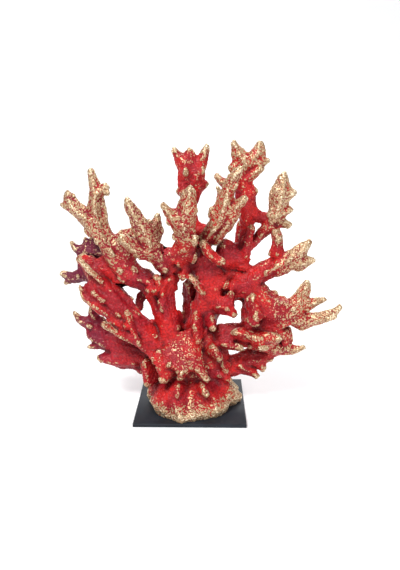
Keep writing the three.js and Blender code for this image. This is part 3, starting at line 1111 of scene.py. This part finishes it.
    @staticmethod
    def nearest(recipe: Recipe, source: Value, name: str, kind: str) -> Value:
        """An attribute of the source, read where it is nearest."""
        inputs = {"Mesh": source, "Value": recipe.attribute(name, kind)}
        return recipe.add("GeometryNodeSampleNearestSurface", {"data_type": kind}, inputs)

    def levelled(self, growth: bpy.types.Mesh) -> bpy.types.Mesh:
        """Cuts the growth flat where it meets the plate, and closes the cut.

        Args:
            growth: the growth, which is changed.

        Returns:
            The same growth.
        """
        bm = bmesh.new()
        bm.from_mesh(growth)
        everything = bm.verts[:] + bm.edges[:] + bm.faces[:]
        cutter = {"plane_co": (0, 0, self.floor + 0.05 * MM), "plane_no": (0, 0, -1), "clear_outer": True}
        cut = bmesh.ops.bisect_plane(bm, geom=everything, **cutter)
        rim = [e for e in cut["geom_cut"] if isinstance(e, bmesh.types.BMEdge)]
        bmesh.ops.holes_fill(bm, edges=rim)
        bmesh.ops.triangulate(bm, faces=[f for f in bm.faces if len(f.verts) > 4])
        bm.to_mesh(growth)
        bm.free()
        return growth

    def parted(self, growth: bpy.types.Mesh) -> list[bpy.types.Object]:
        """Parts the growth at its forks.

        Args:
            growth: the finished growth, whose faces know their piece.

        Returns:
            One closed object for each solid.
        """
        owner = settled_owners(growth)
        growth.shade_smooth()
        normals = np.empty(len(growth.vertices) * 3, np.float32)
        growth.vertex_normals.foreach_get("vector", normals)
        kept = growth.attributes.new("set_normal", "FLOAT_VECTOR", "POINT")
        kept.data.foreach_set("vector", normals)
        made = []
        for number, name in enumerate(self.names):
            piece = self.cut_out(growth, owner == number, f"{name}_coral")
            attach(piece, BODY)
            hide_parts(name)
            made.append(piece)
            LOG.info("%s: %d faces", piece.name, len(piece.data.polygons))
        return made

    def cut_out(self, growth: bpy.types.Mesh, wanted: np.ndarray, name: str) -> bpy.types.Object:
        """Copies some faces of the growth into an object of their own, and closes it.

        Args:
            growth: the whole growth.
            wanted: which faces are taken.
            name: the new object's name.

        Returns:
            The object.
        """
        bm = bmesh.new()
        bm.from_mesh(growth)
        others = [f for f, keep in zip(bm.faces, wanted) if not keep]
        bmesh.ops.delete(bm, geom=others, context="FACES")
        close_rims(bm)
        mesh = filled(name, bm)
        mesh.materials.append(self.material)
        mesh.shade_smooth()
        normals = np.empty(len(mesh.vertices) * 3, np.float32)
        mesh.attributes["set_normal"].data.foreach_get("vector", normals)
        mesh.normals_split_custom_set_from_vertices(normals.reshape(-1, 3))
        for word in ("set_normal", "piece", *SURVEY):
            mesh.attributes.remove(mesh.attributes[word])
        return placed(name, mesh)

    def build(self) -> list[bpy.types.Object]:
        """Makes every piece of the coral.

        Returns:
            The pieces.
        """
        solids = placed("solids", self.gathered(0.0))
        bud = Bud().made()
        skin = remeshed(self.gathered(self.swell, self.sink), self.coarse)
        LOG.info("first skin: %d faces", len(skin.polygons))
        budded = self.rounded(skin, bud)
        growth = self.grained(remeshed(budded, self.fine), solids)
        LOG.info("growth: %d faces", len(growth.polygons))
        pieces = self.parted(self.levelled(growth))
        for helper in (solids, bud):
            bpy.data.objects.remove(helper)
        return pieces


def close_rims(bm: bmesh.types.BMesh) -> None:
    """Closes each open rim of a mesh with a fan round its middle.

    Args:
        bm: the mesh, whose rims may meet at a corner.
    """
    rims = {e for e in bm.edges if e.is_boundary}
    while rims:
        edge = rims.pop()
        loop = [edge.verts[0], edge.verts[1]]
        while loop[-1] is not loop[0]:
            after = next((e for e in loop[-1].link_edges if e in rims), None)
            if after is None:
                break
            rims.discard(after)
            loop.append(after.other_vert(loop[-1]))
        corners = loop[:-1] if loop[-1] is loop[0] else loop
        middle = bm.verts.new(sum((v.co for v in corners), Vector()) / len(corners))
        for a, b in zip(loop, loop[1:]):
            bm.faces.new((b, a, middle))
    bmesh.ops.recalc_face_normals(bm, faces=[f for f in bm.faces if len(f.verts) == 3])


def settled_owners(growth: bpy.types.Mesh) -> np.ndarray:
    """Each face's piece, with stray patches given to the piece round them.

    Args:
        growth: the growth, with its "piece" attribute.

    Returns:
        The number of the piece that owns each face. Loose crumbs of the growth are owned by nobody.
    """
    owner = np.empty(len(growth.polygons), np.int32)
    growth.attributes["piece"].data.foreach_get("value", owner)
    pairs = neighbours(growth)
    body = patches_of(np.zeros_like(owner), pairs)
    owner[body != np.bincount(body).argmax()] = NOBODY
    for _ in range(SETTLING_ROUNDS):
        patch = patches_of(owner, pairs)
        size = np.bincount(patch, minlength=len(owner))
        best = {number: size[patch[owner == number]].max() for number in np.unique(owner)}
        small = size[patch] < np.array([best[number] for number in owner])
        stray = small & (owner != NOBODY)
        if not stray.any():
            break
        for a, b in (pairs.T, pairs.T[::-1]):
            edge = stray[a] & ~stray[b]
            taken = dict(zip(patch[a[edge]], owner[b[edge]]))
            for number, new in taken.items():
                owner[patch == number] = new
            stray = stray & ~np.isin(patch, list(taken))
    return owner


def neighbours(growth: bpy.types.Mesh) -> np.ndarray:
    """Finds which faces touch.

    Args:
        growth: a closed mesh, where every edge has two faces.

    Returns:
        The two faces at each edge, one row an edge.
    """
    edge_of = np.empty(len(growth.loops), np.int32)
    growth.loops.foreach_get("edge_index", edge_of)
    corners = np.empty(len(growth.polygons), np.int32)
    growth.polygons.foreach_get("loop_total", corners)
    face_of = np.repeat(np.arange(len(corners)), corners)
    return face_of[np.argsort(edge_of, kind="stable")].reshape(-1, 2)


def patches_of(owner: np.ndarray, pairs: np.ndarray) -> np.ndarray:
    """Numbers the patches of faces that touch and have one owner.

    Args:
        owner: each face's owner.
        pairs: the two faces at each edge.

    Returns:
        Each face's patch, named by its lowest face.
    """
    same = pairs[owner[pairs[:, 0]] == owner[pairs[:, 1]]]
    patch = np.arange(len(owner))
    while True:
        ends = patch[same]
        low, high = ends.min(axis=1), ends.max(axis=1)
        if (low == high).all():
            return patch
        np.minimum.at(patch, high, low)
        while (patch[patch] != patch).any():
            patch = patch[patch]


# ---------------------------------------------------------------------------------------------
# The plate and the studio
# ---------------------------------------------------------------------------------------------


@dataclass
class Plate:
    """The square plate, with its edges softly broken.

    Attributes:
        material: its paint.
        edge: how far its edges are rounded.
        steps: how many faces a rounded edge has across it.
        crease: the angle in degrees past which a fold stays sharp.
    """

    material: bpy.types.Material
    edge: float = 0.7 * MM
    steps: int = 4
    crease: float = 40.0

    def build(self) -> bpy.types.Object:
        """Makes the plate where its solid is.

        Returns:
            The plate.
        """
        low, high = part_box(PLATE_NODE)
        bm = bmesh.new()
        bmesh.ops.create_cube(bm, size=1.0)
        for vertex in bm.verts:
            vertex.co = Vector(a + (b - a) * (c + 0.5) for a, b, c in zip(low, high, vertex.co))
        rounding = {"offset": self.edge, "segments": self.steps, "profile": 0.5, "affect": "EDGES"}
        bmesh.ops.bevel(bm, geom=bm.edges[:], **rounding)
        mesh = filled("plate_sheet", bm)
        mesh.materials.append(self.material)
        mesh.shade_smooth()
        mesh.set_sharp_from_angle(angle=math.radians(self.crease))
        plate = placed("plate_sheet", mesh)
        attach(plate, BODY)
        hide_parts(PLATE_NODE)
        LOG.info("plate_sheet: %d faces", len(mesh.polygons))
        return plate


@dataclass(frozen=True)
class Lamp:
    """One square lamp that faces the coral.

    Attributes:
        name: the lamp's name.
        place: where it stands.
        width: its side.
        power: its strength in watts.
        aim: what it faces.
    """

    name: str
    place: Place
    width: float
    power: float
    aim: Place = (0, 0, 0.14)

    def build(self) -> None:
        """Sets the lamp up."""
        data = bpy.data.lights.new(self.name, "AREA")
        data.size = self.width
        data.energy = self.power
        lamp = placed(self.name, data)
        lamp.location = self.place
        ahead = Vector(self.aim) - Vector(self.place)
        lamp.rotation_euler = ahead.to_track_quat("-Z", "Y").to_euler()


@dataclass(frozen=True)
class Sweep:
    """The pale floor, which curves up into the backdrop behind the coral.

    Attributes:
        colour: the paper's colour.
        half_width: how far it goes to each side.
        front: how far it comes forward.
        back: how far behind the coral the backdrop stands.
        rise: how high the backdrop is.
        bend: the radius of the curve between them.
        steps: how many faces the curve has.
    """

    colour: Colour = (0.93, 0.93, 0.935, 1)
    half_width: float = 3.0
    front: float = 2.5
    back: float = 1.2
    rise: float = 2.2
    bend: float = 0.5
    steps: int = 12

    def build(self) -> None:
        """Makes the sweep."""
        middle = self.back - self.bend
        outline = [(-self.front, 0.0), (middle, 0.0)]
        for step in range(1, self.steps + 1):
            turn = math.pi / 2 * step / self.steps
            across, up = self.bend * math.sin(turn), self.bend - self.bend * math.cos(turn)
            outline.append((middle + across, up))
        outline.append((self.back, self.rise))
        bm = bmesh.new()
        edges = (-self.half_width, self.half_width)
        left, right = [[bm.verts.new((x, y, z)) for y, z in outline] for x in edges]
        for i in range(len(outline) - 1):
            bm.faces.new((left[i], right[i], right[i + 1], left[i + 1]))
        mesh = filled("sweep", bm)
        mesh.shade_smooth()
        paper = Shading("pale_paper")
        mesh.materials.append(paper.dressed({"Base Color": self.colour, "Roughness": 0.9}))
        placed("sweep", mesh)


@dataclass
class Studio:
    """The sweep, the soft lamps, the sky and the camera.

    Attributes:
        eye: where the camera stands.
        pitch: how far it looks down, in degrees.
        yaw: how far it turns to the left, in degrees.
        lens: its focal length in mm.
        film: the height of its picture in mm.
        lamps: the lamps.
        sky: the colour of the light from all round.
        sky_strength: its strength.
    """

    eye: Place = (20.2 * MM, -636.4 * MM, 303 * MM)
    pitch: float = 14.4
    yaw: float = 0.92
    lens: float = 38.08
    film: float = 36.0
    lamps: tuple[Lamp, ...] = (
        Lamp("key", (-0.5, -0.8, 1.3), 0.45, 23),
        Lamp("fill", (0.9, -0.8, 0.6), 0.8, 6),
        Lamp("rim", (0.2, 0.7, 1.0), 0.6, 8),
    )
    sky: Colour = (0.95, 0.97, 1.0, 1)
    sky_strength: float = 0.42

    def camera(self) -> None:
        """Sets up the camera."""
        data = bpy.data.cameras.new("camera")
        data.sensor_fit = "VERTICAL"
        data.sensor_height = self.film
        data.lens = self.lens
        camera = placed("camera", data)
        camera.location = self.eye
        camera.rotation_euler = (math.radians(90 - self.pitch), 0, math.radians(self.yaw))
        bpy.context.scene.camera = camera

    def build(self) -> None:
        """Sets up the whole studio."""
        self.camera()
        Sweep().build()
        for lamp in self.lamps:
            lamp.build()
        world = bpy.data.worlds.new("studio")
        world.use_nodes = True
        light = world.node_tree.nodes["Background"].inputs
        light["Color"].default_value = self.sky
        light["Strength"].default_value = self.sky_strength
        bpy.context.scene.world = world
        bpy.context.scene.view_settings.view_transform = "Standard"


def main() -> None:
    """Builds the studio, the plate and the coral."""
    logging.basicConfig(level=logging.INFO, format="%(name)s: %(message)s", stream=sys.stdout)
    Studio().build()
    Plate(BlackPlate().material()).build()
    CoralGrowth(GildedCoral().material()).build()


if __name__ == "__main__":
    main()
